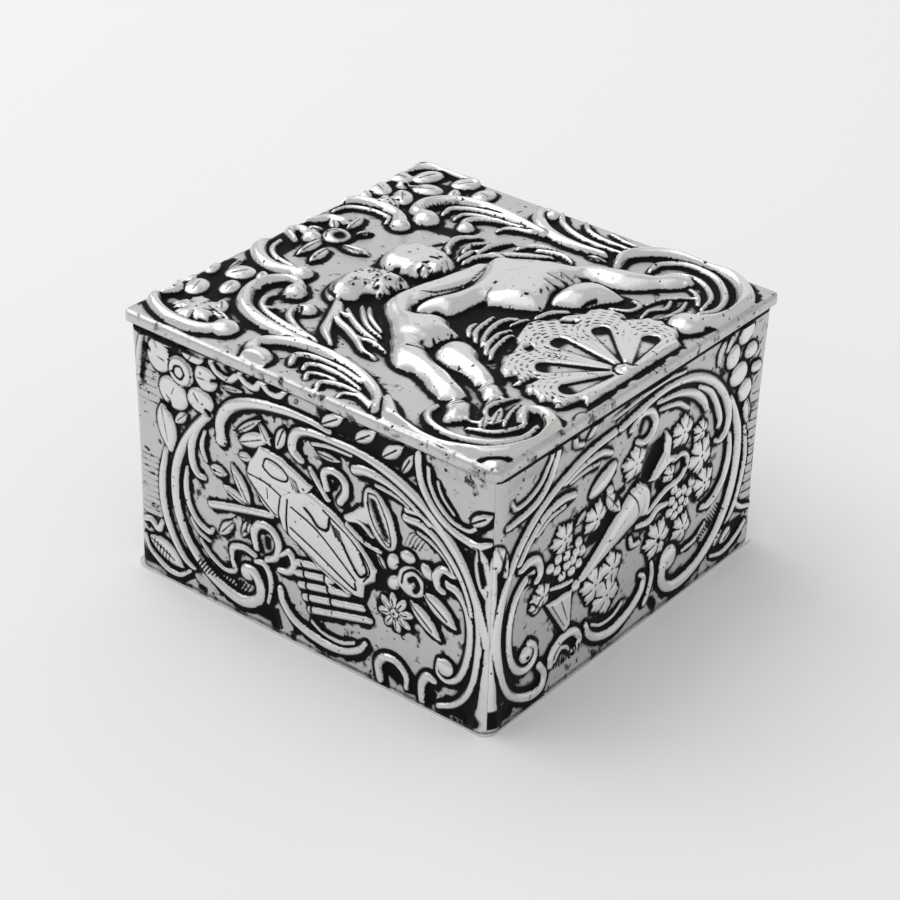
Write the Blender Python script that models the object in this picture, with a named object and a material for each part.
"""Small square silver box with embossed sides and a hinged, embossed lid.

Metres, +Z up. The origin is the middle of the underside. The lid opens at
its front edge, which faces +X, and the hinge runs along Y at the back.
Each function makes one piece, or one kind of piece, as its own object.
"""
import math

import bmesh
import bpy
import numpy as np
from mathutils import Matrix, Vector

# Driving sizes of the case
LID_SIDE = 0.055
BODY_HEIGHT = 0.0332
BASE_THICKNESS = 0.0006
BASE_INSET = 0.00005
BASE_CORNER_RADIUS = 0.0017
BASE_EDGE_ROUND = 0.00015
WALL_INNER_INSET = 0.0023
WALL_RELIEF = 0.0006
WALL_DISH = 0.00026
WALL_TOP_INSET = 0.00028
WALL_WAIST_INSET = 0.00052
WALL_FOOT_INSET = 0.0004
WALL_BACK_INSET = 0.00066
WALL_SKIN = 0.00004
WALL_CORNER_RADIUS = 0.0018
WALL_WAIST_HEIGHT = 0.0150
WALL_BACK_BORDER = 0.0014
SEAT_RING_THICKNESS = 0.0008
SEAT_RING_DEPTH = 0.0040
SEAT_RING_RISE = 0.0007

# Driving sizes of the lid
LID_CORNER_RADIUS = 0.0014
LID_SHEET = 0.0007
LID_SKIRT_THICKNESS = 0.0012
LID_EDGE_HEIGHT = 0.00135
LID_RELIEF = 0.0026
LID_PLAIN_BORDER = 0.0008

# Driving sizes of the hinge
HINGE_LENGTH_SHARE = 0.655
HINGE_INSET = 0.0005
HINGE_COVER = 0.00028
PIN_RADIUS = 0.0004
PIN_CLEARANCE = 0.00008

# Clearances
SEAM_GAP = 0.00035
SOLDER_GAP = 0.0003
CUT_OVERRUN = 0.001

# Counts
KNUCKLES = 5
ROUND_SIDES = 24
CORNER_STEPS = 6
LID_CELLS = 170
WALL_COLUMNS = 170
WALL_ROWS = 100
LID_FACES = 9200
WALL_FACES = 3200
CURVE_STEPS = 5
ROUNDING = 0.6
MASS_ROUNDING = 0.5

# Levels and half widths that follow from the sizes above
HALF_LID = LID_SIDE / 2
HINGE_LENGTH = LID_SIDE * HINGE_LENGTH_SHARE
LID_FOOT = BODY_HEIGHT + SEAM_GAP
LID_GROUND = LID_FOOT + LID_EDGE_HEIGHT
HINGE_X = -(HALF_LID - HINGE_INSET)
HINGE_Z = BODY_HEIGHT + SEAM_GAP / 2
KNUCKLE_RADIUS = LID_GROUND - HINGE_Z - HINGE_COVER - SOLDER_GAP
GROOVE_RADIUS = KNUCKLE_RADIUS + SOLDER_GAP
WALL_INNER = HALF_LID - WALL_INNER_INSET
WALL_FOOT = BASE_THICKNESS + SOLDER_GAP

# The ornament is laid out on squares: the lid's side is divided into 55 and
# the body's height into 33. Heights are shares of the relief. A band form is
# (height, places) with places (across, up, half width): one place is a dome,
# and several are a tapering band through them. A mass form is (height, how
# far in its side rises, outline places).
LID_SQUARES = 55
WALL_SQUARES = 33

LID_BAND_SHARES = (
    (0.50, ((-23.9, -9.5, 0.6), (-26.7, -12.8, 1), (-27.3, -18.2, 0.9), (-26.3, -23.2, 0.9),
            (-23.1, -26.2, 1), (-19.3, -27.1, 1), (-16.3, -26.2, 1.1), (-14.9, -24, 0.7),
            (-15.9, -22.1, 0.6), (-17.6, -23, 0.6))),
    (0.33, ((-21.1, -14.3, 0.3), (-23.1, -14.5, 0.5), (-24.6, -16.6, 0.4),
            (-24.9, -20.1, 0.4), (-23.4, -23.4, 0.4), (-20.6, -25.3, 0.4), (-17.5, -25.1, 0.3))),
    (0.52, ((19, -9.6, 0.5), (21.7, -8.7, 0.8), (24.3, -10.1, 0.9), (26.2, -13.3, 0.8),
            (26.7, -19.3, 0.9), (24.7, -23.9, 1.1), (20.7, -26.5, 1.2), (16.2, -26.5, 1.1),
            (12.6, -24, 1.5))),
    (0.58, ((12.5, -24, 2.3),)),
    (0.33, ((20.9, -13.1, 0.3), (22.9, -13, 0.4), (24.9, -15.1, 0.4), (25.1, -18.1, 0.5),
            (24.2, -20.7, 0.5), (21.4, -23.5, 0.6), (17.9, -24.7, 0.4), (15.4, -23.6, 0.3))),
    (0.29, ((20.4, -14.9, 0.3), (21.9, -15.6, 0.3), (22.8, -17.6, 0.4), (22.2, -20.1, 0.4),
            (19.9, -22.5, 0.4), (16.7, -23.3, 0.3))),
    (0.44, ((-21.6, 27.7, 0.6), (-24, 25.6, 0.9), (-25.5, 22.2, 0.9), (-25.8, 18.8, 1),
            (-25.1, 16.4, 0.9), (-23.4, 15, 1))),
    (0.50, ((-23.5, 15, 1.8),)),
    (0.42, ((-19, 28, 0.3), (-19.1, 26.4, 0.5), (-20.4, 25.4, 0.5), (-22, 26.2, 0.3))),
    (0.50, ((-20.5, 0.8, 0.5), (-20.4, 4.8, 0.7), (-20.2, 9.2, 0.9), (-19.4, 13.8, 1),
            (-17.7, 17.2, 1.1), (-14.9, 19.1, 1), (-11.9, 19.2, 0.7), (-9.9, 17.6, 0.5),
            (-10, 15.6, 0.7), (-11.7, 14.8, 1))),
    (0.56, ((-11.8, 14.7, 1.5),)),
    (0.33, ((-13.3, 16.3, 0.3), (-15.6, 16.3, 0.5), (-17.3, 14.3, 0.4), (-18.5, 10.3, 0.4),
            (-19.1, 6.3, 0.3))),
    (0.37, ((-19, 5.1, 0.3), (-18.2, 8.5, 0.4), (-16.4, 11.5, 0.6), (-14.6, 12.1, 0.4),
            (-13.9, 10.9, 0.5))),
    (0.41, ((-13.9, 10.8, 1.2),)),
    (0.44, ((-26.2, -9.8, 0.5), (-23.6, -7.8, 0.7), (-21.6, -4.2, 0.8), (-20.5, 0.4, 0.8),
            (-20.6, 5, 0.8), (-22, 8.6, 0.7), (-24.2, 9.8, 0.9), (-26, 7.8, 1.1))),
    (0.50, ((-26.1, 7.8, 2),)),
    (0.33, ((-24.5, 3.9, 0.4), (-22.9, 4.6, 0.4), (-21.9, 2.7, 0.4), (-21.9, -1.1, 0.4),
            (-22.8, -4.9, 0.3))),
    (0.44, ((-1.4, 27.2, 0.4), (-4.2, 26.8, 0.8), (-6.2, 25.6, 1.1), (-7.9, 23.2, 1.1),
            (-8.4, 20.4, 1), (-7.4, 17.5, 0.8))),
    (0.50, ((-7.5, 17.5, 1.5),)),
    (0.29, ((-2.5, 25.3, 0.3), (-4.7, 24.7, 0.4), (-6.3, 22.5, 0.4), (-6.7, 19.3, 0.3))),
    (0.42, ((-1.4, 24, 0.4), (-0, 26, 0.7), (1.3, 25.2, 0.7), (0.7, 23.1, 0.7))),
    (0.47, ((0.6, 23.1, 1.3),)),
    (0.42, ((3, 27.2, 0.4), (4.4, 25.8, 0.5), (6, 24.6, 0.6), (6.4, 22.7, 0.7))),
    (0.46, ((7.9, 27.7, 0.3), (10.1, 27, 0.6), (12.1, 25.4, 0.7), (12.9, 22.2, 0.9),
            (12.2, 19, 1), (10.3, 17.1, 1.2))),
    (0.52, ((10.3, 17, 1.4),)),
    (0.52, ((20, 2.1, 0.5), (20.8, 6.1, 0.7), (21.4, 9.9, 0.8), (21.1, 13.9, 0.9),
            (19.6, 16.9, 0.9), (17.1, 18.5, 1), (14.9, 18, 1.2), (13.9, 15.8, 1.2))),
    (0.58, ((13.8, 15.8, 1.8),)),
    (0.37, ((19.8, 5.3, 0.3), (19.2, 8.9, 0.3), (17.9, 11.1, 0.4), (16.2, 11.7, 0.5),
            (15.2, 10.7, 0.7))),
    (0.41, ((15.2, 10.6, 1.2),)),
    (0.40, ((20.5, -6.8, 0.4), (20.2, -2.8, 0.7), (20.7, 0.8, 1), (22.2, 4, 1),
            (24.2, 6, 0.8), (25.7, 5.7, 0.5), (25.3, 4.6, 0.5))),
    (0.45, ((25.2, 4.6, 1),)),
    (0.31, ((22.5, -7.9, 0.3), (22.3, -3.7, 0.4), (23.1, -0.1, 0.5), (24.7, 2.7, 0.5),
            (26.7, 4.1, 0.3))),
    (0.29, ((24.1, -8.7, 0.3), (23.9, -4.7, 0.4), (24.7, -1.5, 0.4), (26.3, 0.3, 0.3))),
    (0.42, ((21.4, 26.8, 0.4), (24.4, 26.7, 0.8), (26.4, 25, 0.8), (26.9, 21.2, 0.9),
            (26.4, 17.4, 0.5))),
    (0.37, ((17.2, 25.4, 1.6), (17.7, 26.7, 1.6))),
    (0.37, ((21.7, 25.3, 1.5), (22.4, 25.6, 1.5))),
    (0.37, ((22.5, 22.9, 1.3), (23.8, 22.4, 1.3))),
    (0.37, ((16.5, 21.2, 1.3), (17.2, 21.8, 1.3))),
    (0.35, ((20.9, 19.7, 1.3), (21.7, 19.9, 1.3))),
    (0.35, ((24.9, 17.7, 1.5), (25.6, 17.3, 1.5))),
    (0.33, ((24.3, 14.2, 1.2), (23.5, 14.4, 1.2))),
    (0.33, ((25.2, 21.8, 0.9), (26.4, 20.8, 0.9))),
    (0.35, ((-18, 24, 1.4), (-17.3, 24.2, 1.4))),
    (0.35, ((-16, 21.3, 1.1), (-15.1, 21.5, 1.1))),
    (0.33, ((-12, 22.8, 1.5),)),
    (0.37, ((-16.9, 26.6, 0.9), (-16.3, 27.6, 0.9))),
    (0.35, ((-13.7, 26.1, 0.9), (-12.5, 26.8, 0.9))),
    (0.31, ((-22.8, 21.8, 1.1), (-21, 20.9, 1.1))),
    (0.29, ((-23.3, 18.3, 0.9), (-21.6, 18.8, 0.9))),
    (0.31, ((-20, 17.7, 0.7), (-18.8, 18.7, 0.7))),
    (0.31, ((0.9, 21.5, 0.3), (-0.3, 21.5, 0.7), (-1.5, 21.5, 0.8), (-2.8, 21.5, 0.6),
            (-4, 21.4, 0.3))),
    (0.31, ((-0.5, 19.5, 0.3), (-1.5, 19.4, 0.8), (-2.5, 19.2, 0.9), (-3.5, 19.1, 0.6),
            (-4.5, 18.9, 0.3))),
    (0.33, ((1.1, 18.9, 0.3), (1.3, 17.9, 0.5), (1.4, 16.8, 0.7), (1.6, 15.8, 0.4),
            (1.8, 14.7, 0.3))),
    (0.31, ((5.1, 21.2, 0.3), (6.2, 21.4, 0.6), (7.2, 21.6, 0.8), (8.3, 21.8, 0.5),
            (9.3, 22, 0.3))),
    (0.31, ((4.5, 19.5, 0.3), (5.1, 19.2, 0.4), (5.7, 18.9, 0.5), (6.2, 18.6, 0.3),
            (6.8, 18.3, 0.3))),
    (0.31, ((4.3, 22.5, 0.3), (4.8, 23, 0.7), (5.3, 23.5, 0.8), (5.8, 24, 0.5),
            (6.3, 24.5, 0.3))),
    (0.31, ((2.9, 23.1, 0.3), (2.8, 23.7, 0.5), (2.6, 24.2, 0.6), (2.5, 24.8, 0.4),
            (2.3, 25.3, 0.3))),
    (0.27, ((19.1, -4.8, 0.3), (19.2, -5.6, 0.4), (19.3, -6.3, 0.5), (19.4, -7.1, 0.3),
            (19.5, -7.8, 0.3))),
    (0.29, ((-20.9, 19.8, 0.3), (-21.1, 18.8, 0.6), (-21.4, 17.7, 0.7), (-21.6, 16.6, 0.4),
            (-21.9, 15.5, 0.3))),
    (0.27, ((-12.7, 24.6, 0.3), (-11.7, 24.8, 0.4), (-10.8, 25, 0.5), (-9.8, 25.2, 0.3),
            (-8.9, 25.4, 0.3))),
    (0.27, ((15.5, 22.8, 0.3), (15.2, 22.3, 0.5), (14.9, 21.8, 0.5), (14.6, 21.3, 0.4),
            (14.3, 20.8, 0.3))),
    (0.27, ((20.5, 22.2, 0.3), (20.2, 22.7, 0.3), (19.8, 23.2, 0.4), (19.5, 23.7, 0.3),
            (19.1, 24.2, 0.3))),
    (0.27, ((-19.5, -19.4, 0.3), (-20.2, -19.8, 0.5), (-20.9, -20.2, 0.6),
            (-21.6, -20.6, 0.4), (-22.3, -21, 0.3))),
    (0.29, ((-20.5, -21.3, 0.3), (-19.5, -20.9, 0.5), (-18.6, -20.5, 0.7),
            (-17.6, -20.1, 0.4), (-16.7, -19.7, 0.3))),
    (0.29, ((-18.1, -18.3, 0.3), (-17, -18.2, 0.4), (-16, -18.1, 0.5), (-15, -18, 0.3),
            (-14, -17.9, 0.3))),
    (0.27, ((10.9, -20.6, 0.3), (11.8, -21.1, 0.4), (12.6, -21.5, 0.4), (13.5, -22, 0.3),
            (14.3, -22.4, 0.3))),
    (0.44, ((2.9, 21, 1.9),)),
    (0.37, ((-9.6, 10, 0.4), (-13.2, 7.9, 0.6), (-16.2, 6.2, 0.7), (-18.4, 3.5, 0.3))),
    (0.37, ((-11.4, 8.9, 0.5), (-13.5, 6.7, 0.5), (-14.7, 3.9, 0.5), (-15.9, 1.7, 0.5),
            (-17.2, -0.3, 0.3), (-17.5, -2.3, 0.3))),
    (0.37, ((-11, 7.3, 0.3), (-12.8, 4.7, 0.5), (-14, 2.1, 0.4), (-14.4, 0.1, 0.3))),
    (0.37, ((-10.4, 8.9, 0.4), (-12, 7.5, 0.4), (-12.2, 6.3, 0.3))),
    (0.37, ((8.4, 7.9, 0.3), (9.8, 9.1, 0.4), (12.2, 9.4, 0.4), (14.4, 7.5, 0.3))),
)
LID_MASS_SHARES = (
    (0.69, 2.2, ((-12.8, -0.8), (-14.6, -2.2), (-16, -3.2), (-16.9, -4.3), (-17.5, -5.5),
            (-17.6, -6.6), (-17.4, -8.2), (-18.3, -10), (-19.1, -11.4), (-19.5, -12.7),
            (-19.8, -13.8), (-18.8, -15.1), (-17.7, -15.6), (-16.7, -14.4), (-15.8, -12.7),
            (-15, -11.3), (-14.6, -9.9), (-14.1, -8.3), (-13.1, -6.7), (-12, -5), (-11.5, -3.1))),
    (0.52, 1.3, ((-20.1, -14.5), (-21.2, -15.5), (-22.6, -16.2), (-23.1, -16.9),
            (-22.3, -17.9), (-20.9, -18.4), (-19.4, -17.4), (-18, -16.2), (-18.8, -15.1))),
    (0.50, 1.2, ((-15.1, -15), (-15.7, -16.1), (-16.6, -17.2), (-16, -18.2), (-15.1, -18.5),
            (-14.1, -17.6), (-13.2, -16.4), (-13.8, -15.5))),
    (0.71, 2.3, ((-13.2, -7.7), (-13.7, -9.1), (-13.9, -10.4), (-13.9, -11.9), (-14.3, -13.5),
            (-14.7, -14.6), (-13.8, -15.7), (-12.9, -15.8), (-11.9, -14.7), (-11.2, -13.6),
            (-10.8, -12.4), (-10, -11.2), (-8.9, -10.3), (-8.4, -9.3), (-8.5, -8.1),
            (-9.1, -7.1), (-10.1, -6.4), (-11.4, -6.4), (-12.4, -6.8))),
    (0.77, 3, ((-11.5, -5.3), (-9.9, -5.4), (-8.1, -6), (-7.3, -6.7), (-6.8, -5.8),
            (-6.3, -4.1), (-5.1, -2.9), (-5.5, -1.8), (-6.3, -0.6), (-6.7, 0.9), (-4.9, 2.3),
            (-3.2, 2.7), (-2.3, 3.7), (-3.4, 4.8), (-5.2, 5.2), (-6.7, 5.3), (-8.3, 4),
            (-10, 1.9), (-12.4, -0.4), (-13.5, -2.1), (-12.8, -3.6))),
    (0.73, 1.7, ((-6.3, 3.5), (-4.2, 2.8), (-1.9, 2.4), (0.1, 1.6), (2.1, 1), (3.6, 0.8),
            (5.1, 1.2), (6.7, 1.5), (8.3, 1.6), (8.5, 2.1), (7.5, 3), (5.6, 3.2), (3.4, 3.6),
            (1.2, 4), (-0.8, 4.6), (-2.8, 4.9), (-5.1, 5.3), (-6.9, 5.2))),
    (0.85, 3.6, ((-10.3, 10.4), (-9.5, 9.3), (-8.6, 8.5), (-7.2, 8.4), (-6.2, 7.7),
            (-5.5, 6.6), (-3.7, 5.9), (-1.9, 5.7), (-1.2, 6.2), (-0.9, 7.8), (-1, 9.7),
            (-1.7, 11.3), (-3.1, 12.5), (-5, 13.1), (-6.9, 13.1), (-8.7, 12.7), (-9.8, 11.7))),
    (0.67, 2.4, ((12.7, -7.1), (13.7, -8.7), (14.2, -10.3), (14.2, -11.9), (14.7, -13.5),
            (15.8, -14.7), (16.9, -15.8), (18.3, -16.7), (19.5, -15.8), (19.5, -14.4),
            (18.9, -12.9), (18.4, -11.3), (17.7, -9.5), (16.8, -7.7), (15.5, -6.3),
            (13.8, -5.6), (12.5, -5.4))),
    (0.56, 1.4, ((18.2, -15), (17.7, -16.1), (19, -17.7), (20.7, -18.8), (22, -19),
            (22.3, -17.9), (21.7, -16.4), (20.7, -15.1), (19.3, -14.4))),
    (0.75, 3, ((1.4, -4.8), (2, -6.2), (2.8, -7.8), (4, -9.3), (6, -8.8), (8.3, -8.1),
            (10.6, -8.2), (12.3, -8.7), (13.8, -8.5), (14.7, -7.3), (14.9, -5.7),
            (14.4, -4.2), (13.8, -2.6), (12.4, -0.8), (10.8, 0.8), (8.8, 2.2), (7.2, 1.3),
            (5.6, -0.7), (3.9, -2.2), (2.1, -3), (1, -4))),
    (0.73, 1.8, ((8.4, 1.1), (6.3, 1), (4.6, 0.6), (3, 0.1), (1.3, 0), (-0.9, 0.5),
            (-3.1, 1.5), (-5.1, 1.9), (-6.1, 1.2), (-5.3, 0.3), (-4.8, -0.7), (-4.1, -2.1),
            (-2.4, -2.6), (-0, -2.8), (1.5, -3.3), (2.5, -2.8), (4, -2.3), (5.8, -1.7),
            (8.1, -1.8))),
    (0.62, 1.6, ((9.6, -0.5), (11.5, -1.7), (13.3, -2.9), (14.7, -3.9), (15.1, -4),
            (14.6, -3), (13.6, -1.4), (12, 0.3), (10.4, 1.8), (8.9, 3.1))),
    (0.73, 2.1, ((6.4, -10.4), (7, -11.7), (8, -12.7), (9.5, -13.3), (10.7, -14.1),
            (11.9, -14.9), (12.8, -15.3), (13.2, -14.8), (13, -13.3), (13.2, -11.7),
            (12.8, -10.4), (11.8, -9.3), (10.3, -8.6), (8.3, -8.5), (6.9, -8.8), (6.1, -9.4))),
    (0.85, 3.8, ((2.2, 4.6), (4, 4.5), (5.8, 4.9), (6.9, 5.8), (7.6, 7.5), (7.6, 9.5),
            (6.8, 11.5), (5.3, 12.7), (3.5, 13.3), (1.7, 13), (0.5, 12.1), (-0.2, 10.8),
            (-0.2, 9.2), (0.2, 7.5), (0.7, 6))),
)
TROPHY_BAND_SHARES = (
    (0.92, ((-21.7, 18.2, 0.4), (-22.5, 14, 0.6), (-22.3, 10, 0.6), (-21, 6.6, 0.6),
            (-19.2, 4.2, 0.6), (-17.6, 3.3, 0.4))),
    (1.00, ((-14.8, 25.6, 0.4), (-16.8, 23.2, 0.6), (-18.6, 20.4, 0.7), (-20, 17, 0.7),
            (-20.4, 13.6, 0.7), (-19.9, 10, 0.7), (-18.2, 6.7, 0.7), (-15.4, 4, 0.8),
            (-12.4, 2.6, 0.8), (-9.4, 2.2, 0.8), (-7.2, 3.3, 0.8), (-6.8, 5.2, 0.8),
            (-7.8, 6.9, 0.8), (-9, 6.9, 0.7))),
    (0.92, ((-14.1, 25.7, 0.3), (-16.2, 23.4, 0.5), (-17.4, 20.6, 0.6), (-17.4, 18.2, 0.6),
            (-16.6, 16.9, 0.6), (-15.6, 16.7, 0.4))),
    (0.75, ((-15.2, 23.1, 0.3), (-15.8, 21, 0.4), (-15.2, 19.2, 0.3))),
    (0.83, ((-18.3, 17, 0.3), (-18.6, 14.4, 0.5), (-18.1, 12, 0.5), (-16.7, 10.2, 0.5),
            (-15, 9.5, 0.5), (-14.4, 10, 0.3))),
    (0.75, ((-16.4, 7.8, 0.3), (-14.6, 6.2, 0.4), (-12.4, 5.3, 0.4), (-10.9, 5.9, 0.5),
            (-11.3, 7.4, 0.5), (-11.2, 8.9, 0.5), (-9.4, 9.6, 0.5), (-7.8, 9.3, 0.5))),
    (0.83, ((-7.6, 8.5, 0.3), (-6.2, 8.7, 0.5), (-5.3, 7.4, 0.5), (-5.2, 5.4, 0.4),
            (-5.6, 3.6, 0.3))),
    (0.75, ((-25.4, 5, 0.3), (-24.5, 3, 0.4), (-22.4, 1.6, 0.5), (-20, 1.4, 0.4),
            (-18.2, 2.6, 0.3))),
    (0.75, ((-25.6, 7.2, 0.4), (-24.4, 7.4, 0.5), (-23.4, 6.4, 0.5), (-22.8, 7.6, 0.4))),
    (1.00, ((-12.5, 23.1, 0.8), (-12.8, 24.8, 0.8), (-12.2, 26.6, 0.8), (-10.4, 28.5, 0.8),
            (-7.2, 29.9, 0.8), (-3, 30.7, 0.7), (1, 30.9, 0.5), (4, 30.6, 0.4))),
    (1.00, ((-0.4, 25.2, 0.6), (-1.6, 26.2, 0.8), (-1.2, 28.2, 0.7), (0.8, 29.3, 0.6),
            (4.5, 29.6, 0.6), (8.5, 29.5, 0.6), (12, 28.8, 0.7), (15.2, 27.6, 0.8),
            (18.6, 25.6, 0.8), (21.6, 22.8, 0.8), (24, 19.4, 0.7), (25.6, 15.6, 0.6),
            (26.3, 12, 0.5))),
    (1.00, ((7.6, 27.1, 0.7), (9.4, 27.6, 0.8), (12.6, 27.3, 0.6), (15.6, 26.1, 0.5),
            (18.4, 24.4, 0.3))),
    (0.92, ((15, 25, 0.5), (17.4, 25.1, 0.4), (19.8, 23.9, 0.4), (21.8, 22, 0.3))),
    (1.00, ((14.9, 23.9, 0.6), (17.4, 23.9, 0.7), (19.8, 22.6, 0.6), (22.2, 20.2, 0.6),
            (23.8, 17.4, 0.5), (24.5, 15.4, 0.3))),
    (1.00, ((20.6, 17.7, 0.6), (22.2, 17.4, 0.6), (23.5, 16, 0.6), (24.2, 13.6, 0.6),
            (24.2, 10.8, 0.6), (23.6, 8, 0.6), (22.6, 5.9, 0.5), (21.2, 5.1, 0.5),
            (20, 5.8, 0.5), (20.1, 7.2, 0.5))),
    (0.92, ((25, 16.6, 0.3), (25.5, 13.4, 0.5), (25.4, 10, 0.5), (25, 7, 0.5), (24, 4.4, 0.5),
            (22.4, 2.4, 0.5), (20.2, 1.3, 0.4))),
    (1.00, ((21.6, 19.2, 0.5), (20.2, 19.4, 0.6), (19.3, 18.3, 0.7), (19.5, 17, 0.6),
            (20.3, 16.5, 0.5))),
    (1.00, ((16.8, 32.8, 0.5), (16.7, 30.6, 0.6), (17.5, 28.4, 0.6), (19.4, 26.3, 0.7),
            (21.8, 24.9, 0.7), (24.4, 24.5, 0.6), (26.2, 25.2, 0.4))),
    (1.00, ((-3.7, 6.4, 0.5), (-3.2, 4.8, 0.6), (-1.4, 3, 0.7), (2, 2.1, 0.7),
            (5.6, 2.1, 0.6), (8.2, 3.2, 0.6), (9.3, 4.6, 0.4))),
    (1.00, ((11.8, 1.1, 0.6), (11.3, 2.8, 0.7), (12.3, 4.1, 0.7), (14, 4.2, 0.6),
            (15.3, 3.1, 0.6), (15.6, 1.6, 0.5))),
    (1.00, ((18, 0.8, 0.5), (17.6, 2.8, 0.7), (18.4, 4.3, 0.7), (19.4, 4.2, 0.6))),
    (0.83, ((-13.6, 33, 0.4), (-12.6, 31.9, 0.5), (-11, 31.6, 0.5), (-9.7, 32.6, 0.5))),
    (0.83, ((-9.2, 33, 0.4), (-8.2, 32.2, 0.5), (-6.9, 32.1, 0.5), (-6.2, 33, 0.4))),
    (0.83, ((-5.7, 33.2, 0.4), (-4.8, 32.4, 0.5), (-3.4, 32.4, 0.5), (-2.4, 33.2, 0.3))),
    (0.67, ((-24.5, 33, 0.3), (-25.2, 30, 0.4), (-25.4, 26, 0.3))),
    (1.00, ((20.9, 6.7, 1.2),)),
    (1.00, ((-8.9, 6.4, 1.1),)),
    (1.00, ((-12.6, 23.1, 0.9),)),
    (0.92, ((-21.9, 24.1, 0.4), (-21.6, 22.7, 1.4), (-21.4, 21.2, 1.6), (-21.1, 19.8, 1.1),
            (-20.8, 18.3, 0.3))),
    (0.75, ((-18.2, 24.3, 0.3), (-18.6, 23.9, 0.6), (-19, 23.5, 0.7), (-19.5, 23, 0.5),
            (-19.9, 22.6, 0.3))),
    (0.67, ((-12.4, 30.2, 0.3), (-11.6, 30.3, 0.4), (-10.7, 30.4, 0.5), (-9.8, 30.6, 0.3),
            (-9, 30.7, 0.3))),
    (0.87, ((3, 31.3, 0.3), (3.8, 31.8, 0.8), (4.6, 32.4, 0.9), (5.4, 32.9, 0.6),
            (6.2, 33.4, 0.3))),
    (0.87, ((7.8, 31, 0.3), (8.6, 31.6, 0.8), (9.3, 32.1, 0.9), (10.1, 32.7, 0.6),
            (10.8, 33.2, 0.3))),
    (0.87, ((11.6, 30.4, 0.3), (12.3, 31, 0.8), (13.1, 31.6, 0.9), (13.8, 32.3, 0.6),
            (14.6, 32.9, 0.3))),
    (0.80, ((14.3, 29.4, 0.3), (14.7, 30.1, 0.5), (15.2, 30.9, 0.6), (15.6, 31.6, 0.4),
            (16, 32.4, 0.3))),
    (0.97, ((17.8, 15.2, 0.3), (18.9, 14.5, 1.1), (20, 13.8, 1.2), (21.1, 13.1, 0.9),
            (22.2, 12.4, 0.3))),
    (0.92, ((15.8, 13.2, 0.3), (16.9, 12.4, 0.9), (18, 11.6, 1.1), (19, 10.7, 0.8),
            (20.1, 9.9, 0.3))),
    (0.83, ((-8.4, 16, 0.3), (-9.1, 17.1, 0.8), (-9.8, 18.2, 0.9), (-10.4, 19.3, 0.6),
            (-11.1, 20.4, 0.3))),
    (0.83, ((-8.8, 15.9, 0.3), (-9.8, 16.2, 0.6), (-10.7, 16.4, 0.8), (-11.7, 16.7, 0.5),
            (-12.6, 17, 0.3))),
    (0.83, ((-14.4, 18.6, 0.3), (-13.8, 18.6, 0.7), (-13.2, 18.6, 0.8), (-12.6, 18.6, 0.6),
            (-12, 18.6, 0.3))),
    (0.75, ((-9.8, 22, 0.3), (-9.4, 22.1, 0.6), (-8.9, 22.2, 0.7), (-8.4, 22.3, 0.5),
            (-8, 22.4, 0.3))),
    (0.75, ((-10.2, 25, 0.3), (-9.2, 25.8, 0.4), (-8.2, 26.6, 0.5), (-7.2, 27.4, 0.3),
            (-6.2, 28.2, 0.3))),
    (0.83, ((-9.6, 24, 0.3), (-8.4, 24.6, 0.9), (-7.3, 25.1, 1.1), (-6.2, 25.6, 0.8),
            (-5, 26.2, 0.3))),
    (0.83, ((-6.6, 27.6, 0.3), (-6.2, 27, 0.5), (-5.8, 26.4, 0.6), (-5.3, 25.8, 0.4),
            (-4.9, 25.2, 0.3))),
    (0.83, ((-2.8, 28.2, 0.3), (-3.1, 27.4, 0.7), (-3.4, 26.7, 0.8), (-3.7, 25.9, 0.6),
            (-4, 25.2, 0.3))),
    (0.83, ((-24.4, 4.9, 0.4), (-23.1, 4.3, 1.3), (-21.9, 3.8, 1.5), (-20.6, 3.2, 1),
            (-19.4, 2.6, 0.3))),
    (0.75, ((12, 15.8, 0.3), (11.7, 16.2, 0.4), (11.4, 16.7, 0.5), (11.1, 17.2, 0.3),
            (10.8, 17.6, 0.3))),
    (0.83, ((26.3, 23.4, 0.3), (26.3, 22.2, 0.8), (26.3, 21.1, 1), (26.3, 19.9, 0.7),
            (26.3, 18.8, 0.3))),
    (0.75, ((24, 27, 0.3), (24.6, 27.5, 0.7), (25.2, 27.9, 0.8), (25.8, 28.4, 0.6),
            (26.4, 28.9, 0.3))),
    (0.63, ((-11.2, 12.3, 0.3), (-11.7, 11.7, 0.7), (-12.2, 11.1, 0.8), (-12.8, 10.5, 0.6),
            (-13.3, 9.9, 0.3))),
    (0.67, ((-8.4, 13.6, 0.3), (-8.8, 12.9, 0.6), (-9.1, 12.3, 0.7), (-9.5, 11.7, 0.5),
            (-9.8, 11, 0.3))),
    (0.67, ((2, 27.2, 0.3), (2.9, 27.2, 0.5), (3.7, 27.2, 0.6), (4.6, 27.2, 0.4),
            (5.4, 27.2, 0.3))),
    (1.00, ((-22, 30.8, 2.1),)),
    (1.00, ((-14.7, 30.4, 1.8),)),
    (1.00, ((-15.7, 27.1, 1.9),)),
    (1.00, ((-20, 26.5, 2.2),)),
    (1.00, ((-17, 33, 1.2), (-15.8, 33, 1.2))),
    (1.00, ((-20.8, 33.4, 0.9), (-20, 33.4, 0.9))),
    (1.00, ((-18.6, 29.9, 2),)),
    (0.93, ((13, 17, 0.9), (13.2, 17.8, 0.9))),
    (0.93, ((14.9, 18.8, 0.9), (15.5, 19, 0.9))),
    (0.93, ((17.8, 18.3, 0.9), (18.2, 17.9, 0.9))),
    (0.93, ((13, 14.4, 0.9), (13.6, 15, 0.9))),
    (1.00, ((15.9, 15.9, 2.1),)),
    (0.85, ((13.6, 10.8, 2.4),)),
    (0.75, ((-14.6, 13.5, 0.6), (-9.8, 14.8, 0.6), (-5, 15.9, 0.5))),
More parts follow.
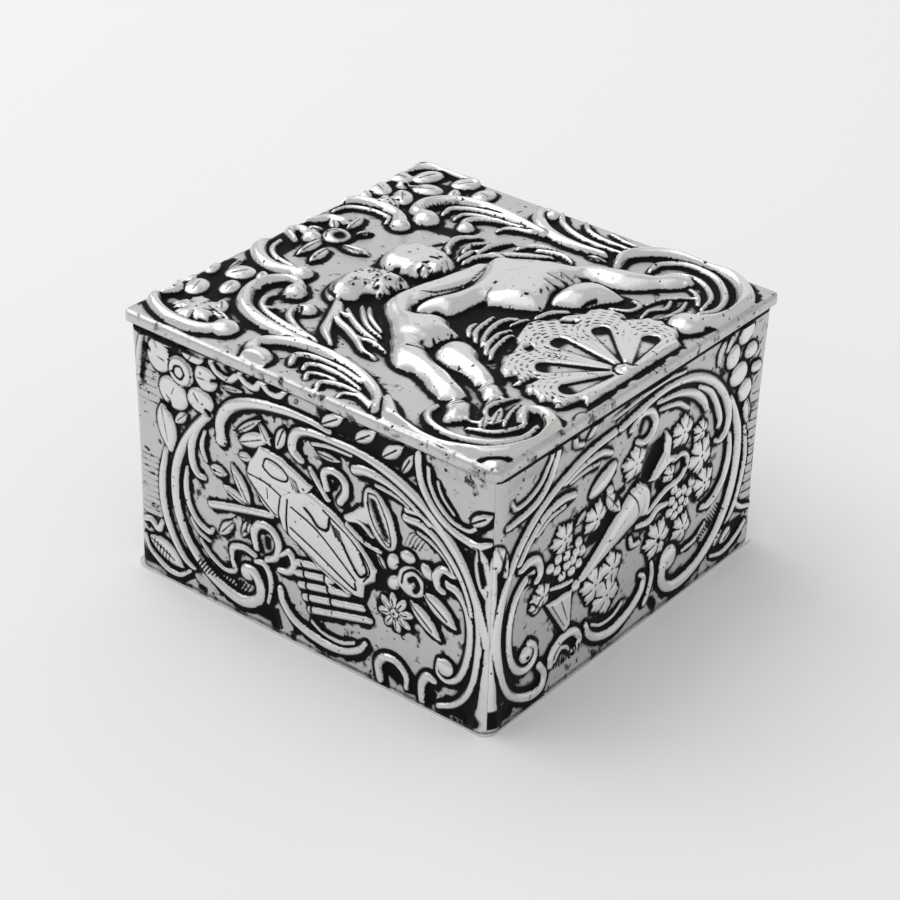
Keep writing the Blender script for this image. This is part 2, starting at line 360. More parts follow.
    (0.75, ((-1.6, 11, 0.5), (2.8, 12.1, 0.5))),
    (0.75, ((-1.2, 9.7, 0.5), (4.2, 11, 0.5))),
    (0.75, ((-0.6, 8.3, 0.5), (6.4, 10.1, 0.5))),
    (0.75, ((0.1, 6.9, 0.5), (8.8, 9.2, 0.5))),
    (0.75, ((0.9, 5.5, 0.5), (9.8, 8, 0.5))),
    (0.83, ((3.2, 10.6, 0.3), (5, 9.8, 0.5), (6.8, 10.2, 0.3))),
    (0.92, ((-7.4, 10.4, 0.5), (-7.8, 12.4, 0.6), (-6.8, 13.9, 0.7), (-5, 13.9, 0.6),
            (-4, 12.4, 0.6), (-4.4, 10.4, 0.6), (-5.8, 9.5, 0.5))),
    (0.92, ((-3.6, 11, 0.3), (-2.3, 12, 0.5), (-1.6, 10.6, 0.6), (-2.4, 9.3, 0.6),
            (-3.9, 8.9, 0.4))),
    (0.92, ((3.5, 23, 0.5), (3, 24.8, 0.6), (4.3, 25.6, 0.6), (5.9, 25.1, 0.6),
            (6.2, 23.6, 0.6), (5.4, 22, 0.6))),
    (0.92, ((1, 24.6, 0.4), (2.4, 23, 0.5), (3.6, 21.6, 0.5))),
    (0.92, ((6.6, 20.2, 0.3), (8.4, 20.6, 0.4), (10.2, 19.4, 0.3))),
    (1.00, ((10.4, 23.8, 2), (12, 20.4, 2))),
    (0.70, ((9.3, 21.8, 1.4), (7.8, 21, 0.9), (6.2, 20.3, 0.4))),
)
TROPHY_MASS_SHARES = (
    (0.83, 0.3, ((-6.5, 24.8), (-3.2, 24.4), (1.4, 22.4), (0.4, 20.4), (-3.4, 19), (-4, 15.8),
            (-6.2, 16.9), (-8.8, 20.2), (-8.4, 21.6))),
    (1.00, 0.2, ((-5.9, 22.3), (-5.3, 23.4), (-3.4, 23.2), (-2.3, 22.3), (-2.8, 21.6),
            (-4.6, 21.5))),
    (1.00, 0.5, ((-3.4, 19.4), (-1.6, 20.8), (1.2, 21.6), (4.6, 20.4), (8.2, 18.2),
            (10.9, 15.3), (10.6, 13.6), (9.2, 12.4), (8.9, 10.6), (6.6, 10.3), (3, 11.6),
            (-0.6, 13.6), (-3.2, 15), (-3.8, 16.8))),
    (1.00, 0.3, ((0.2, 20.9), (2.6, 20.4), (3.9, 19.4), (3.7, 18), (2.4, 17.9), (1, 19.3))),
    (1.00, 0.3, ((6.3, 17.2), (7.3, 17.9), (8.4, 16.4), (9.3, 14.6), (8.5, 13.9), (7.4, 15.2))),
)
CORNUCOPIA_BAND_SHARES = (
    (0.92, ((-16.5, 33, 0.5), (-16.7, 31, 0.5), (-17.7, 29, 0.5), (-19.6, 27.4, 0.5),
            (-22.2, 26.7, 0.5), (-25, 26.7, 0.4))),
    (1.00, ((-5.5, 29.9, 0.5), (-10, 29.5, 0.5), (-14.2, 28.3, 0.5), (-18, 26.6, 0.5),
            (-20.8, 24.6, 0.6), (-23.2, 21.8, 0.6), (-25.2, 18.2, 0.7), (-25.9, 14.4, 0.7),
            (-25.8, 10.4, 0.7), (-24.8, 6.4, 0.6), (-22.8, 3.4, 0.6), (-20, 1.8, 0.7),
            (-17.6, 1.7, 0.6), (-16.8, 3.2, 0.6), (-17.8, 4.9, 0.6))),
    (1.00, ((-12.6, 25, 0.5), (-15, 25.4, 0.6), (-18, 24.8, 0.5), (-20.4, 23, 0.5),
            (-22.4, 20.6, 0.3))),
    (0.83, ((-5.8, 27.3, 0.4), (-8, 28.2, 0.5), (-11.6, 28.1, 0.5), (-14.6, 27.3, 0.3))),
    (1.00, ((-19.6, 18.3, 0.4), (-20.8, 18.1, 0.5), (-22.4, 16.8, 0.6), (-23.5, 14.4, 0.6),
            (-23.8, 11.4, 0.6), (-23.2, 8.4, 0.6), (-21.8, 6.3, 0.6), (-20.2, 5.7, 0.6),
            (-18.9, 6.5, 0.6), (-18.8, 8, 0.6), (-19.8, 9, 0.5))),
    (1.00, ((-22, 19.6, 0.4), (-20.4, 20, 0.7), (-18.8, 19.3, 0.7), (-18.3, 17.7, 0.6),
            (-19, 16.7, 0.4))),
    (1.00, ((-15.7, 3.6, 0.5), (-15.4, 5.2, 0.7), (-13.6, 6.3, 0.7), (-11.4, 6.1, 0.7),
            (-10.2, 4.9, 0.6), (-10.6, 3.7, 0.5), (-11.6, 3.6, 0.4))),
    (1.00, ((-8.9, 5.7, 0.4), (-8.3, 4.2, 0.6), (-6.4, 2.7, 0.7), (-3.4, 2.2, 0.7),
            (-0.2, 3, 0.7), (2, 4.6, 0.7), (2.6, 6.4, 0.5), (1.9, 7.1, 0.3))),
    (1.00, ((-4.4, 29.8, 0.5), (-1.4, 30.4, 0.5), (3, 31.2, 0.5), (7, 31, 0.6),
            (11, 29.9, 0.6), (14.6, 27.8, 0.7), (17.4, 24.9, 0.7), (18.8, 21.8, 0.7),
            (18.6, 19.6, 0.6), (17.4, 18.7, 0.6), (16.4, 19, 0.4))),
    (1.00, ((19, 23.6, 0.5), (20.6, 20.6, 0.8), (21.5, 17, 0.8), (21.5, 13, 0.8),
            (20.4, 9, 0.8), (18, 5.4, 0.8), (14.6, 2.9, 0.8), (11, 2, 0.8), (8.2, 2.3, 0.8),
            (6.6, 3.9, 0.8), (6.6, 6, 0.8))),
    (0.83, ((11.6, 28.4, 0.3), (14.2, 26.6, 0.5), (16, 24, 0.6), (16.9, 21.8, 0.6),
            (16.7, 20.8, 0.4))),
    (0.92, ((3, 30, 0.3), (7, 29.4, 0.5), (10.6, 27.9, 0.6), (12.8, 26, 0.7), (13.6, 24.6, 0.5))),
    (0.75, ((3.6, 28.8, 0.3), (7.2, 28, 0.4), (9.6, 26.4, 0.3))),
    (1.00, ((-2.2, 28.6, 0.4), (-0.6, 29.9, 0.5), (1.6, 29.4, 0.6), (2.7, 27.8, 0.6),
            (2.1, 26.3, 0.6), (0.6, 25.8, 0.5), (-0.8, 26.5, 0.4))),
    (1.00, ((19.4, 18.6, 0.4), (19.7, 15.6, 0.6), (19, 12.9, 0.7), (17.6, 11.2, 0.7),
            (15.8, 10.3, 0.6), (14.4, 10.5, 0.4))),
    (0.83, ((22.9, 18, 0.3), (23.5, 14, 0.4), (23, 10, 0.4), (21.4, 6.5, 0.4), (18.8, 3.8, 0.3))),
    (0.75, ((17.5, 2, 0.3), (20, 1.5, 0.4), (23, 2.3, 0.5), (24.6, 3.8, 0.3))),
    (0.83, ((22.2, 7.6, 0.4), (23.4, 6.4, 0.5), (25.4, 5.8, 0.4))),
    (0.83, ((4.2, 7.6, 0.4), (4.4, 5.8, 0.5), (3.8, 3.8, 0.5), (3, 2.4, 0.4))),
    (0.67, ((-13.6, 33, 0.4), (-13, 31.6, 0.5), (-11.6, 31, 0.4))),
    (1.00, ((-20.3, 7.7, 1.2),)),
    (1.00, ((7.8, 6.6, 1.8),)),
    (0.92, ((-26.2, 24.6, 0.3), (-25.9, 23.6, 0.9), (-25.5, 22.5, 1.1), (-25.2, 21.4, 0.8),
            (-24.9, 20.4, 0.3))),
    (0.83, ((16, 33, 0.3), (15.8, 32.1, 0.5), (15.7, 31.2, 0.6), (15.6, 30.3, 0.4),
            (15.4, 29.4, 0.3))),
    (0.83, ((17.8, 32.8, 0.3), (17.6, 32.2, 0.5), (17.4, 31.7, 0.6), (17.1, 31.1, 0.4),
            (16.9, 30.6, 0.3))),
    (0.83, ((22.8, 22, 0.3), (22.9, 21.1, 0.6), (23, 20.2, 0.7), (23.1, 19.3, 0.5),
            (23.2, 18.4, 0.3))),
    (0.83, ((-10.8, 31.4, 0.3), (-10.2, 31.9, 0.6), (-9.6, 32.3, 0.7), (-9, 32.8, 0.5),
            (-8.4, 33.2, 0.3))),
    (0.83, ((-5.9, 21.6, 0.3), (-5.2, 20.9, 0.9), (-4.6, 20.1, 1.1), (-4, 19.4, 0.8),
            (-3.3, 18.6, 0.3))),
    (0.83, ((-10, 21.6, 0.3), (-10.4, 21.4, 0.4), (-10.9, 21.1, 0.5), (-11.4, 20.9, 0.3),
            (-11.8, 20.6, 0.3))),
    (0.83, ((21.6, 4.2, 0.3), (21.1, 3.9, 0.8), (20.5, 3.5, 0.9), (19.9, 3.2, 0.6),
            (19.4, 2.9, 0.3))),
    (0.83, ((19.6, 4.6, 0.3), (19.2, 4.2, 0.5), (18.8, 3.9, 0.6), (18.3, 3.5, 0.4),
            (17.9, 3.2, 0.3))),
    (0.83, ((-14.6, 18.4, 0.3), (-13.9, 18.3, 0.3), (-13.3, 18.2, 0.4), (-12.7, 18.1, 0.3),
            (-12, 18, 0.3))),
    (0.97, ((18.6, 29.4, 1.5),)),
    (0.97, ((20.9, 31.8, 1.6),)),
    (0.97, ((22.5, 28.8, 1.2),)),
    (0.97, ((20.3, 26.4, 1.8),)),
    (0.97, ((22, 23.5, 1.5),)),
    (0.97, ((23.8, 26, 0.8), (24.2, 26, 0.8))),
    (0.97, ((23, 19.6, 0.7), (22.8, 21.2, 0.7))),
    (0.92, ((-14.2, 20, 2.1),)),
    (0.92, ((-8.1, 19.8, 2.2),)),
    (0.92, ((-0.9, 23.7, 2.3),)),
    (0.92, ((8.8, 23.6, 2.2),)),
    (0.92, ((12.8, 22, 1.6),)),
    (0.92, ((13.2, 18.4, 2.6),)),
    (0.92, ((5, 10.6, 2.7),)),
    (0.92, ((14.4, 14.1, 2.2),)),
    (0.92, ((10.2, 9.7, 2),)),
    (0.92, ((-7.6, 10.6, 2.5),)),
    (0.92, ((-4.4, 11.2, 2.3),)),
    (0.92, ((-5.2, 8, 2.8),)),
    (0.92, ((-17.9, 14.2, 1.9),)),
    (0.92, ((-18.8, 13.4, 1.1),)),
    (0.92, ((6.6, 18.8, 1.3),)),
    (1.00, ((-16.4, 17.1, 0.7),)),
    (1.00, ((-15.1, 16.3, 0.7),)),
    (1.00, ((-15, 17.7, 0.7),)),
    (1.00, ((-13.4, 17.4, 0.7),)),
    (1.00, ((-13.3, 16.1, 0.7),)),
    (1.00, ((-14.1, 15, 0.7),)),
    (1.00, ((-12.2, 16.2, 0.7),)),
    (1.00, ((-11.2, 18.1, 0.7),)),
    (1.00, ((-12.3, 14.8, 0.7),)),
    (1.00, ((-11, 15.2, 0.7),)),
    (1.00, ((-10.4, 16.6, 0.7),)),
    (1.00, ((-11.6, 17, 0.7),)),
    (1.00, ((7.6, 14.6, 0.7),)),
    (1.00, ((8.9, 15.1, 0.7),)),
    (1.00, ((8.3, 13.6, 0.7),)),
    (1.00, ((9.6, 13.9, 0.7),)),
    (1.00, ((10.1, 15, 0.7),)),
    (1.00, ((7.3, 13.1, 0.7),)),
    (1.00, ((8.4, 12.3, 0.7),)),
    (1.00, ((9.5, 12.6, 0.7),)),
    (1.00, ((10.7, 13.1, 0.7),)),
    (1.00, ((11.2, 14.3, 0.7),)),
    (1.00, ((8, 16, 0.7),)),
    (1.00, ((11.7, 15.4, 0.7),)),
    (0.83, ((2.6, 15.4, 0.4), (6, 16.8, 0.5), (9.2, 17.2, 0.5), (10.4, 19.2, 0.5),
            (9.2, 20.4, 0.4), (7.4, 20.3, 0.3))),
    (0.83, ((0.6, 14.4, 0.4), (3, 14, 0.6), (4.6, 14.9, 0.6), (6.6, 14.7, 0.4))),
    (0.83, ((-0.6, 13.4, 0.3), (-0.2, 12.2, 0.4), (1.2, 12, 0.3))),
    (0.83, ((-16, 14.2, 0.3), (-13.8, 13.6, 0.4), (-12, 13.4, 0.3))),
    (1.00, ((-10.4, 12.9, 0.5), (-6.6, 14.6, 1.2), (-3.2, 16.3, 2), (0, 17.9, 2.6))),
    (1.00, ((0.2, 20, 0.7), (1.6, 18.2, 1.1), (1.6, 16.2, 0.8))),
    (1.00, ((-11.3, 12.3, 0.8),)),
    (1.00, ((-8.5, 23.5, 1.2), (-5.5, 25.1, 1.2))),
    (1.00, ((-5.6, 22.3, 0.7),)),
)
CORNUCOPIA_MASS_SHARES = (
    (0.83, 0.4, ((-16.9, 12.5), (-12, 12.3), (-12.1, 7.6), (-13.2, 6.9))),
    (1.00, 0.4, ((5.1, 25.5), (6.2, 24.2), (6.1, 21.6), (8.2, 20.8), (5.6, 20.4), (3.4, 19.4),
            (2.3, 19.7), (3.2, 20.9), (4.9, 22.6))),
)

# The fan: its pivot, and for each stick its turn in degrees, how far out its
# opening ends and how wide the lace lobe is there
FAN_PIVOT_SHARES = (-1.45, -25.5)
FAN_STICK_SHARES = (
    (16.4, 8.0, 4.5),
    (54.2, 9.4, 4.9),
    (89.2, 9.5, 5.3),
    (127.0, 9.2, 4.9),
    (162.4, 8.1, 4.4),
)
FAN_BODY_SHARE = 10.2
FAN_FOOT_SHARE = 0.9
FAN_START_SHARE = 2.0
FAN_OPENING_START_SHARE = 0.22
FAN_OPENING_END_SHARE = 0.94
FAN_EDGE_SHARE = 0.5
FAN_HEIGHT_SHARE = 0.28
FAN_OPENING_DEPTH_SHARE = 0.23
FAN_HUB_SHARES = (0.44, ((-0.85, -25.0, 1.1),))
STEM_BAND_SHARES = (
    (0.70, ((26.5, 20, 0.5), (26.4, 10, 0.7), (26.4, 4, 1.1), (26.4, 0, 1.8))),
)

SILVER = (0.72, 0.71, 0.70, 1.0)
PALE_SILVER = (0.78, 0.77, 0.75, 1.0)
INNER_SILVER = (0.80, 0.74, 0.62, 1.0)
SATIN_ROUGHNESS = 0.34
BRIGHT_ROUGHNESS = 0.20


def clear_scene():
    """Remove every object and mesh that is already in the file."""
    for item in list(bpy.data.objects):
        bpy.data.objects.remove(item, do_unlink=True)
    for mesh in list(bpy.data.meshes):
        bpy.data.meshes.remove(mesh)


def metal(name, colour, roughness):
    """Return a metallic Principled material of one colour."""
    material = bpy.data.materials.new(name)
    material.use_nodes = True
    shader = material.node_tree.nodes["Principled BSDF"]
    shader.inputs["Base Color"].default_value = colour
    shader.inputs["Metallic"].default_value = 1.0
    shader.inputs["Roughness"].default_value = roughness
    return material


def add_piece(name, bm, colour, roughness, parent=None):
    """Turn a bmesh into a named object with its own material."""
    bmesh.ops.recalc_face_normals(bm, faces=bm.faces)
    mesh = bpy.data.meshes.new(name)
    bm.to_mesh(mesh)
    bm.free()
    mesh.shade_smooth()
    mesh.set_sharp_from_angle(angle=math.radians(35))
    mesh.materials.append(metal(name + "_finish", colour, roughness))
    piece = bpy.data.objects.new(name, mesh)
    bpy.context.scene.collection.objects.link(piece)
    if parent is not None:
        piece.parent = parent
        piece.matrix_parent_inverse = parent.matrix_world.inverted()
    return piece


def rounded_block(half, radius, low, high):
    """Return a bmesh of a square block with rounded upright corners."""
    bm = bmesh.new()
    size = Matrix.Diagonal((2 * half, 2 * half, high - low, 1.0))
    place = Matrix.Translation((0.0, 0.0, (low + high) / 2))
    bmesh.ops.create_cube(bm, size=1.0, matrix=place @ size)
    upright = [e for e in bm.edges if abs(e.verts[0].co.z - e.verts[1].co.z) > (high - low) / 2]
    bmesh.ops.bevel(bm, geom=upright, offset=radius, offset_type="OFFSET", segments=CORNER_STEPS,
                    profile=0.5, affect="EDGES", material=-1)
    return bm


def add_cutter(name, bm):
    """Make a hidden object that other pieces are cut with."""
    bmesh.ops.recalc_face_normals(bm, faces=bm.faces)
    mesh = bpy.data.meshes.new(name)
    bm.to_mesh(mesh)
    bm.free()
    cutter = bpy.data.objects.new(name, mesh)
    cutter.hide_render = True
    cutter.display_type = "WIRE"
    bpy.context.scene.collection.objects.link(cutter)
    return cutter


def cut(piece, cutter):
    """Subtract the cutter from the piece with a live Boolean."""
    boolean = piece.modifiers.new("cut_" + cutter.name, "BOOLEAN")
    boolean.operation = "DIFFERENCE"
    boolean.solver = "EXACT"
    boolean.object = cutter


def thin_out(piece, faces):
    """Keep the relief's shape with about the given number of triangles."""
    triangles = sum(len(face.vertices) - 2 for face in piece.data.polygons)
    decimate = piece.modifiers.new("thin_out", "DECIMATE")
    decimate.decimate_type = "COLLAPSE"
    decimate.ratio = min(1.0, faces / triangles)
    decimate.use_collapse_triangulate = True


def smooth_path(places):
    """Return points on a smooth curve through (across, up, half width) places."""
    if len(places) == 1:
        return np.array([places[0], places[0]], dtype=float)
    ends = np.array(places, dtype=float)
    guide = np.vstack([2 * ends[0] - ends[1], ends, 2 * ends[-1] - ends[-2]])
    points = []
    for index in range(1, len(guide) - 2):
        before, start, end, after = guide[index - 1:index + 3]
        for step in range(CURVE_STEPS):
            t = step / CURVE_STEPS
            bend = (2 * start + (end - before) * t
                    + (2 * before - 5 * start + 4 * end - after) * t ** 2
                    + (3 * start - before - 3 * end + after) * t ** 3)
            points.append(bend / 2)
    points.append(ends[-1])
    return np.array(points)


def raise_form(heights, across, up, form):
    """Raise one rounded band or dome, keeping what already stands higher."""
    share, places = form
    path = smooth_path(places)
    for start, end in zip(path[:-1], path[1:]):
        step = end[:2] - start[:2]
        length_squared = max(float(step @ step), 1e-9)
        along = ((across - start[0]) * step[0] + (up - start[1]) * step[1]) / length_squared
        along = np.clip(along, 0.0, 1.0)
        away = np.hypot(across - start[0] - along * step[0], up - start[1] - along * step[1])
        width = start[2] + along * (end[2] - start[2])
        round_top = np.clip(1.0 - (away / width) ** 2, 0.0, 1.0) ** ROUNDING
        np.maximum(heights, share * round_top, out=heights)


def round_outline(outline):
    """Return points on a smooth closed curve through outline places."""
    knots = np.array(outline, dtype=float)
    before = np.roll(knots, 1, axis=0)[:, None]
    after = np.roll(knots, -1, axis=0)[:, None]
    beyond = np.roll(knots, -2, axis=0)[:, None]
    start = knots[:, None]
    t = (np.arange(CURVE_STEPS) / CURVE_STEPS)[None, :, None]
    bend = (2 * start + (after - before) * t
            + (2 * before - 5 * start + 4 * after - beyond) * t ** 2
            + (3 * start - before - 3 * after + beyond) * t ** 3)
    return (bend / 2).reshape(-1, 2)


def raise_mass(heights, across, up, form):
    """Raise one rounded body inside its outline, keeping what already stands higher."""
    share, rise, outline = form
    ring = round_outline(outline)
    inside = np.zeros(across.shape, dtype=bool)
    away = np.full(across.shape, np.inf)
    for start, end in zip(ring, np.roll(ring, -1, axis=0)):
        step = end - start
        length_squared = max(float(step @ step), 1e-9)
        along = ((across - start[0]) * step[0] + (up - start[1]) * step[1]) / length_squared
        along = np.clip(along, 0.0, 1.0)
        gap = np.hypot(across - start[0] - along * step[0], up - start[1] - along * step[1])
        away = np.minimum(away, gap)
        crossed = (start[1] > up) != (end[1] > up)
        if abs(step[1]) > 1e-9:
            inside ^= crossed & (across < start[0] + step[0] * (up - start[1]) / step[1])
    depth = np.clip(away / rise, 0.0, 1.0)
    rounded = np.clip(1.0 - (1.0 - depth) ** 2, 0.0, 1.0) ** MASS_ROUNDING
    np.maximum(heights, np.where(inside, share * rounded, 0.0), out=heights)


def raise_fan(heights, across, up):
    """Raise the open fan: lobes of lace on sticks, with an opening in each stick."""
    pivot_a, pivot_b = FAN_PIVOT_SHARES
    da = across - pivot_a
    db = up - pivot_b
    leaf = np.where(db > -FAN_FOOT_SHARE, FAN_BODY_SHARE - np.hypot(da, db), -1.0)
    opening = np.full(across.shape, -1.0)
    for turn, far, lobe in FAN_STICK_SHARES:
        c = math.cos(math.radians(turn))
        s = math.sin(math.radians(turn))
        along = da * c + db * s
        side = np.abs(db * c - da * s)
        away = np.hypot(da - far * c, db - far * s)
        leaf = np.maximum(leaf, lobe - away)
        out = (along - FAN_START_SHARE) / (far - FAN_START_SHARE)
        widening = FAN_OPENING_END_SHARE - FAN_OPENING_START_SHARE
        half = FAN_OPENING_START_SHARE + widening * np.clip(out, 0.0, 1.0)
        slot = np.where((out > 0.0) & (out < 1.0), half - side, -1.0)
        opening = np.maximum(opening, np.maximum(slot, FAN_OPENING_END_SHARE - away))
    leaf = np.minimum(leaf, db + FAN_FOOT_SHARE)
    edge = np.clip(leaf / FAN_EDGE_SHARE, 0.0, 1.0)
    level = FAN_HEIGHT_SHARE * np.sqrt(1.0 - (1.0 - edge) ** 2)
    sunk = FAN_OPENING_DEPTH_SHARE * ease(opening / FAN_OPENING_START_SHARE)
    np.maximum(heights, np.where(leaf > 0.0, level - sunk, 0.0), out=heights)
    raise_form(heights, across, up, FAN_HUB_SHARES)


def ease(value):
    """Return a smooth step of a value clipped to 0 and 1."""
    value = np.clip(value, 0.0, 1.0)
    return value * value * (3.0 - 2.0 * value)


def solid_from_grid(columns, rows, outer_place, inner_place):
    """Return a bmesh solid: a grid of the outer face and the same grid inside it."""
    bm = bmesh.new()
    bmesh.ops.create_grid(bm, x_segments=columns, y_segments=rows, size=1.0)
    made = bmesh.ops.extrude_face_region(bm, geom=bm.faces[:])
    outer = [item for item in made["geom"] if isinstance(item, bmesh.types.BMVert)]
    chosen = set(outer)
    inner = [vert for vert in bm.verts if vert not in chosen]
    for verts, place in ((outer, outer_place), (inner, inner_place)):
        shares = np.array([vert.co[:2] for vert in verts])
        for vert, spot in zip(verts, place(shares[:, 0], shares[:, 1])):
            vert.co = spot
    return bm


def rounded_square(across, up, half, radius):
    """Bend a square's corners into arcs, so that a grid fills a rounded square."""
    straight = half - radius
    beyond_x = np.clip(np.abs(across) - straight, 0.0, radius)
    beyond_y = np.clip(np.abs(up) - straight, 0.0, radius)
    bent_x = beyond_x * np.sqrt(1.0 - beyond_y ** 2 / (2 * radius ** 2))
    bent_y = beyond_y * np.sqrt(1.0 - beyond_x ** 2 / (2 * radius ** 2))
    new_x = np.sign(across) * (np.minimum(np.abs(across), straight) + bent_x)
    new_y = np.sign(up) * (np.minimum(np.abs(up), straight) + bent_y)
    return new_x, new_y


def lid_outer(share_x, share_y):
    """Place the lid's upper face: the ground with the ornament raised on it."""
    x, y = rounded_square(share_x * HALF_LID, share_y * HALF_LID, HALF_LID, LID_CORNER_RADIUS)
    square = LID_SIDE / LID_SQUARES
    across = y / square
    up = -x / square
    heights = np.zeros_like(across)
    for form in LID_BAND_SHARES:
        raise_form(heights, across, up, form)
    for form in LID_MASS_SHARES:
        raise_mass(heights, across, up, form)
    raise_fan(heights, across, up)
    inset = HALF_LID - np.maximum(np.abs(x), np.abs(y))
    fade = ease(inset / LID_PLAIN_BORDER)
    z = LID_GROUND + LID_RELIEF * heights * fade
    return np.column_stack([x, y, z])


def lid_inner(share_x, share_y):
    """Place the lid's underside, before the recess is cut."""
    x, y = rounded_square(share_x * HALF_LID, share_y * HALF_LID, HALF_LID, LID_CORNER_RADIUS)
    return np.column_stack([x, y, np.full_like(x, LID_FOOT)])


def make_lid(hinge_line, groove_cutter):
    """Make the stamped lid with its turned-down edge and its hinge groove."""
    bm = solid_from_grid(LID_CELLS, LID_CELLS, lid_outer, lid_inner)
    lid = add_piece("lid_top", bm, PALE_SILVER, BRIGHT_ROUGHNESS, hinge_line)
    recess = rounded_block(HALF_LID - LID_SKIRT_THICKNESS, LID_CORNER_RADIUS / 2,
                           LID_FOOT - CUT_OVERRUN, LID_GROUND - LID_SHEET)
    cut(lid, add_cutter("lid_recess_cutter", recess))
    cut(lid, groove_cutter)
    thin_out(lid, LID_FACES)
    return lid


def wall_surface(height):
    """Return the half width of the plain metal at each height of a wall."""
    below = ease((WALL_WAIST_HEIGHT - height) / (WALL_WAIST_HEIGHT - WALL_FOOT))
    above = ((height - WALL_WAIST_HEIGHT) / (BODY_HEIGHT - WALL_WAIST_HEIGHT)).clip(0.0, 1.0) ** 2
    inset = (WALL_WAIST_INSET + (WALL_FOOT_INSET - WALL_WAIST_INSET) * below
             + (WALL_TOP_INSET - WALL_WAIST_INSET) * above)
    return HALF_LID - inset


def wall_dish(s, z):
    """Return how far the panel inside the corners is sunk, from 0 to 1."""
    sides = ease((WALL_INNER + WALL_FOOT_INSET - np.abs(s)) / (WALL_INNER_INSET + WALL_RELIEF))
    foot = ease((z - WALL_FOOT / 2) / (WALL_FOOT * 2))
    head = ease((BODY_HEIGHT - WALL_FOOT_INSET - z) / (WALL_FOOT * 2))
    return sides * foot * head


def make_wall(name, bands, masses, stem_side, turn, border):
    """Make one embossed side, mitred at both ends, and turn it to its place."""
    straight = HALF_LID - WALL_WAIST_INSET - WALL_CORNER_RADIUS
    mitre = math.asin(SOLDER_GAP / 2 / WALL_CORNER_RADIUS)
    sweep = math.pi / 4 - mitre
    reach = straight + WALL_CORNER_RADIUS * sweep
    inner_reach = WALL_INNER - SOLDER_GAP / math.sqrt(2)

    def outer_place(share_s, share_t):
        s = share_s * reach
        z = WALL_FOOT + (share_t + 1) / 2 * (BODY_HEIGHT - WALL_FOOT)
        angle = np.clip(np.abs(s) - straight, 0.0, None) / WALL_CORNER_RADIUS
        square = LID_SIDE / LID_SQUARES
        heights = np.zeros_like(s)
        up = z / (BODY_HEIGHT / WALL_SQUARES)
        for form in bands:
            raise_form(heights, s / square, up, form)
        for form in masses:
            raise_mass(heights, s / square, up, form)
        for form in STEM_BAND_SHARES:
            raise_form(heights, stem_side * s / square, up, form)
        half = wall_surface(z) - WALL_DISH * wall_dish(s, z) + WALL_RELIEF * heights
        half = np.minimum(half, HALF_LID - WALL_SKIN)
        if border > 0:
            plain = ease((z - (BODY_HEIGHT - border)) / SOLDER_GAP)
            half = half * (1 - plain) + (HALF_LID - WALL_BACK_INSET) * plain
        out = half - (HALF_LID - WALL_WAIST_INSET)
        radius = WALL_CORNER_RADIUS + out
        x = np.sign(s) * (np.minimum(np.abs(s), straight) + radius * np.sin(angle))
        y = -straight - radius * np.cos(angle)
        return np.column_stack([x, y, z])

    def inner_place(share_s, share_t):
        z = WALL_FOOT + (share_t + 1) / 2 * (BODY_HEIGHT - WALL_FOOT)
        return np.column_stack([share_s * inner_reach, np.full_like(z, -WALL_INNER), z])

    bm = solid_from_grid(WALL_COLUMNS, WALL_ROWS, outer_place, inner_place)
    bmesh.ops.rotate(bm, verts=bm.verts, cent=(0.0, 0.0, 0.0),
                     matrix=Matrix.Rotation(math.radians(turn), 3, "Z"))
    return add_piece(name, bm, SILVER, SATIN_ROUGHNESS)


def make_walls(groove_cutter):
    """Make the four sides: two dies, each used on two opposite sides."""
    sides = (
        ("wall_left", TROPHY_BAND_SHARES, TROPHY_MASS_SHARES, 1, 0, 0.0),
        ("wall_front", CORNUCOPIA_BAND_SHARES, CORNUCOPIA_MASS_SHARES, -1, 90, 0.0),
        ("wall_right", TROPHY_BAND_SHARES, TROPHY_MASS_SHARES, 1, 180, 0.0),
        ("wall_back", CORNUCOPIA_BAND_SHARES, CORNUCOPIA_MASS_SHARES, -1, 270, WALL_BACK_BORDER),
    )
    for name, bands, masses, stem_side, turn, border in sides:
        wall = make_wall(name, bands, masses, stem_side, turn, border)
        if name == "wall_back":
            cut(wall, groove_cutter)
        thin_out(wall, WALL_FACES)


def make_base():
    """Make the flat bottom plate, whose edge stands out as a flange."""
    half = HALF_LID - BASE_INSET
    bm = rounded_block(half, BASE_CORNER_RADIUS, 0.0, BASE_THICKNESS)
    rim = [e for e in bm.edges if min(v.co.z for v in e.verts) > BASE_THICKNESS / 2]
    bmesh.ops.bevel(bm, geom=rim, offset=BASE_EDGE_ROUND, offset_type="OFFSET", segments=2,
                    profile=0.5, affect="EDGES", material=-1)
    add_piece("base_plate", bm, SILVER, SATIN_ROUGHNESS)


def make_seat_ring():
    """Make the upright ring inside the mouth, which the lid closes over."""
    outer = WALL_INNER - SOLDER_GAP
    inner = outer - SEAT_RING_THICKNESS
    low = BODY_HEIGHT - SEAT_RING_DEPTH
    high = BODY_HEIGHT + SEAT_RING_RISE
    ring = add_piece("seat_ring", rounded_block(outer, SEAT_RING_THICKNESS, low, high),
                     INNER_SILVER, BRIGHT_ROUGHNESS)
    hole = rounded_block(inner, SEAT_RING_THICKNESS / 2, low - CUT_OVERRUN, high + CUT_OVERRUN)
    cut(ring, add_cutter("seat_ring_cutter", hole))


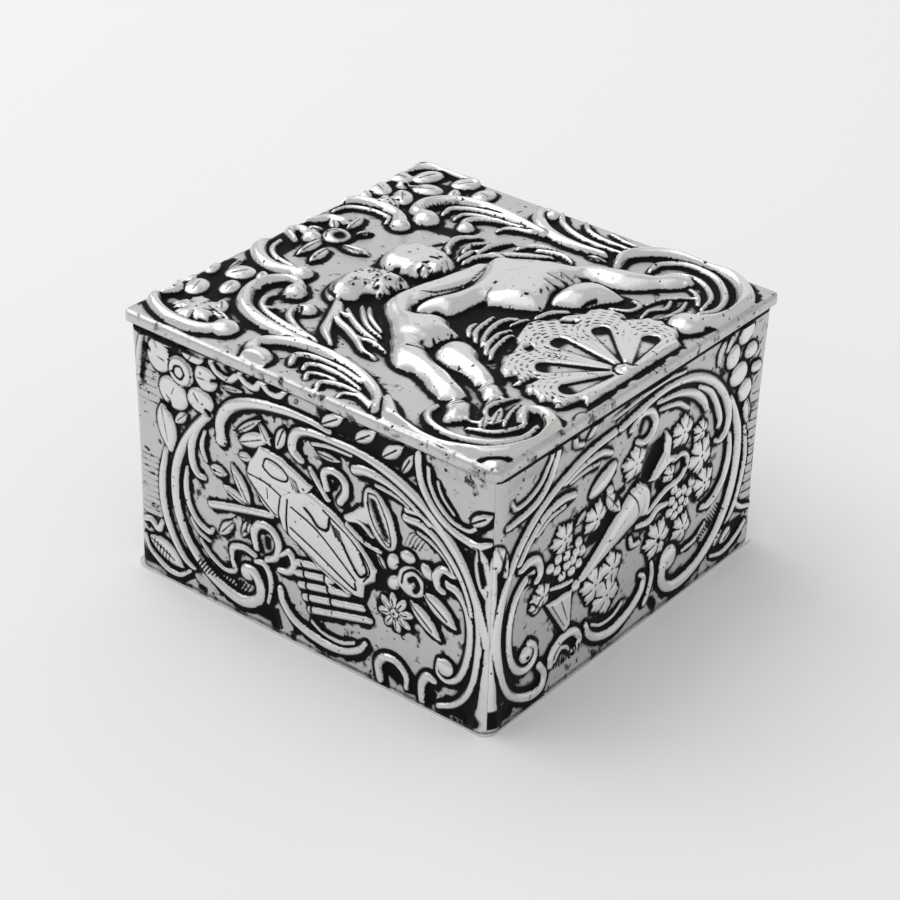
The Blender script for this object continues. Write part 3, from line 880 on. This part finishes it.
def tube(radius, bore, start, end):
    """Return a bmesh of a tube along Y, open at both ends."""
    bm = bmesh.new()
    turn = Matrix.Rotation(math.radians(90), 4, "X")
    place = Matrix.Translation((HINGE_X, start, HINGE_Z)) @ turn
    for size in (radius, bore):
        bmesh.ops.create_circle(bm, cap_ends=False, radius=size, segments=ROUND_SIDES, matrix=place)
    faces = bmesh.ops.bridge_loops(bm, edges=bm.edges[:])["faces"]
    made = bmesh.ops.extrude_face_region(bm, geom=faces)
    moved = [item for item in made["geom"] if isinstance(item, bmesh.types.BMVert)]
    bmesh.ops.translate(bm, verts=moved, vec=Vector((0.0, end - start, 0.0)))
    return bm


def make_hinge(hinge_line):
    """Make the five knuckles and the pin; the second and fourth turn with the lid."""
    pitch = (HINGE_LENGTH + SOLDER_GAP) / KNUCKLES
    counts = {"case": 0, "lid": 0}
    for index in range(KNUCKLES):
        start = -HINGE_LENGTH / 2 + index * pitch
        side = "lid" if index % 2 else "case"
        counts[side] += 1
        bm = tube(KNUCKLE_RADIUS, PIN_RADIUS + PIN_CLEARANCE, start, start + pitch - SOLDER_GAP)
        parent = hinge_line if side == "lid" else None
        add_piece(f"{side}_knuckle_{counts[side]}", bm, SILVER, SATIN_ROUGHNESS, parent)
    bm = bmesh.new()
    turn = Matrix.Rotation(math.radians(90), 4, "X")
    bmesh.ops.create_cone(bm, cap_ends=True, cap_tris=False, segments=ROUND_SIDES,
                          radius1=PIN_RADIUS, radius2=PIN_RADIUS, depth=HINGE_LENGTH,
                          matrix=Matrix.Translation((HINGE_X, 0.0, HINGE_Z)) @ turn)
    add_piece("hinge_pin", bm, SILVER, BRIGHT_ROUGHNESS)


def make_groove_cutter():
    """Make the round bar that clears the knuckles out of the lid and the back."""
    bm = bmesh.new()
    turn = Matrix.Rotation(math.radians(90), 4, "X")
    bmesh.ops.create_cone(bm, cap_ends=True, cap_tris=False, segments=ROUND_SIDES,
                          radius1=GROOVE_RADIUS, radius2=GROOVE_RADIUS,
                          depth=HINGE_LENGTH + 2 * SOLDER_GAP,
                          matrix=Matrix.Translation((HINGE_X, 0.0, HINGE_Z)) @ turn)
    return add_cutter("hinge_groove_cutter", bm)


def build_box():
    """Build every piece of the box."""
    clear_scene()
    hinge_line = bpy.data.objects.new("hinge_line", None)
    hinge_line.location = (HINGE_X, 0.0, HINGE_Z)
    bpy.context.scene.collection.objects.link(hinge_line)
    bpy.context.view_layer.update()
    groove_cutter = make_groove_cutter()
    make_base()
    make_walls(groove_cutter)
    make_seat_ring()
    make_lid(hinge_line, groove_cutter)
    make_hinge(hinge_line)


build_box()
